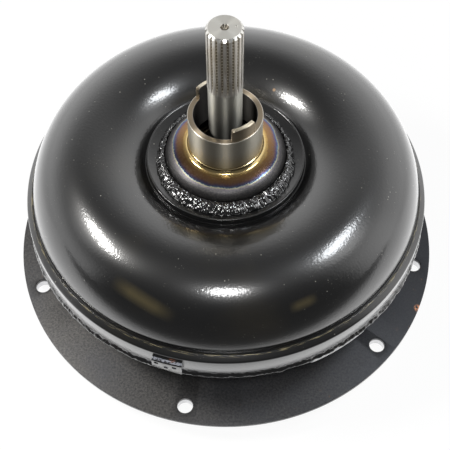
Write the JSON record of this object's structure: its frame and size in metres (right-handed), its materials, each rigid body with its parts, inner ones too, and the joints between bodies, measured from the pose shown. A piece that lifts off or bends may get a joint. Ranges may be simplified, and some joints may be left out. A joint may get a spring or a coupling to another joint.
{
  "type": "torque converter",
  "caption": "Welded torque converter with a domed impeller shell, tanged pump drive hub, splined turbine shaft, bladed turbine and stator inside, and a round bolted drive plate.",
  "frame": {"origin": "middle of the crank pilot's end face, on the turning axis", "axes": "+Z along the turning axis towards the transmission; +X to the right and -Y to the viewer in the picture"},
  "size_m": [0.315, 0.315, 0.2429],
  "materials": {
    "black_paint": "gloss black paint over pressed steel",
    "dark_plate": "satin dark grey phosphate on rolled sheet",
    "painted_weld": "gloss black paint over weld bead",
    "zinc_steel": "dull zinc plate",
    "ground_steel": "turned and ground, bright",
    "bearing_bronze": "turned bronze",
    "pressed_sheet": "cold rolled sheet, brazed",
    "cast_aluminium": "as cast, turned faces",
    "hardened_steel": "hardened and ground",
    "spring_steel": "blued spring strip"
  },
  "bodies": {
    "housing": {"balance_strip": "zinc_steel", "balance_tag": "painted_weld", "crank_pilot": "ground_steel", "drive_plate": "dark_plate", "front_cover": "black_paint", "hub_bush": "bearing_bronze", "hub_weld": "painted_weld", "impeller_blade_ring": "pressed_sheet", "impeller_shell": "black_paint", "pilot_bush": "bearing_bronze", "plate_bolt_1": "zinc_steel", "plate_bolt_2": "zinc_steel", "plate_bolt_3": "zinc_steel", "plate_bolt_4": "zinc_steel", "plate_bolt_5": "zinc_steel", "plate_bolt_6": "zinc_steel", "pump_drive_hub": "ground_steel", "seam_weld": "painted_weld"},
    "turbine": {"shaft_snap_ring": "spring_steel", "turbine_blade_ring": "pressed_sheet", "turbine_hub": "ground_steel", "turbine_rivet_1": "zinc_steel", "turbine_rivet_2": "zinc_steel", "turbine_rivet_3": "zinc_steel", "turbine_rivet_4": "zinc_steel", "turbine_rivet_5": "zinc_steel", "turbine_rivet_6": "zinc_steel", "turbine_shaft": "ground_steel", "turbine_shell": "pressed_sheet", "turbine_thrust_washer": "bearing_bronze"},
    "inner_race": {"clutch_inner_race": "hardened_steel"},
    "stator": {"clutch_outer_race": "hardened_steel", "clutch_roller_1": "hardened_steel", "clutch_roller_2": "hardened_steel", "clutch_roller_3": "hardened_steel", "clutch_roller_4": "hardened_steel", "clutch_roller_5": "hardened_steel", "clutch_roller_6": "hardened_steel", "clutch_roller_7": "hardened_steel", "clutch_roller_8": "hardened_steel", "clutch_spring_1": "spring_steel", "clutch_spring_2": "spring_steel", "clutch_spring_3": "spring_steel", "clutch_spring_4": "spring_steel", "clutch_spring_5": "spring_steel", "clutch_spring_6": "spring_steel", "clutch_spring_7": "spring_steel", "clutch_spring_8": "spring_steel", "stator_side_plate_hub": "cast_aluminium", "stator_side_plate_turbine": "cast_aluminium", "stator_thrust_washer_hub": "bearing_bronze", "stator_thrust_washer_turbine": "bearing_bronze", "stator_wheel": "cast_aluminium"}
  },
  "joints": [
    {"name": "turbine_spin", "type": "hinge", "parent": "housing", "child": "turbine", "pos_m": [0, 0, 0.0465], "axis": [0, 0, 1], "continuous": true},
    {"name": "inner_race_spin", "type": "hinge", "parent": "housing", "child": "inner_race", "pos_m": [0, 0, 0.0891], "axis": [0, 0, 1], "continuous": true},
    {"name": "stator_freewheel", "type": "hinge", "parent": "inner_race", "child": "stator", "pos_m": [0, 0, 0.0891], "axis": [0, 0, 1], "continuous": true}
  ]
}
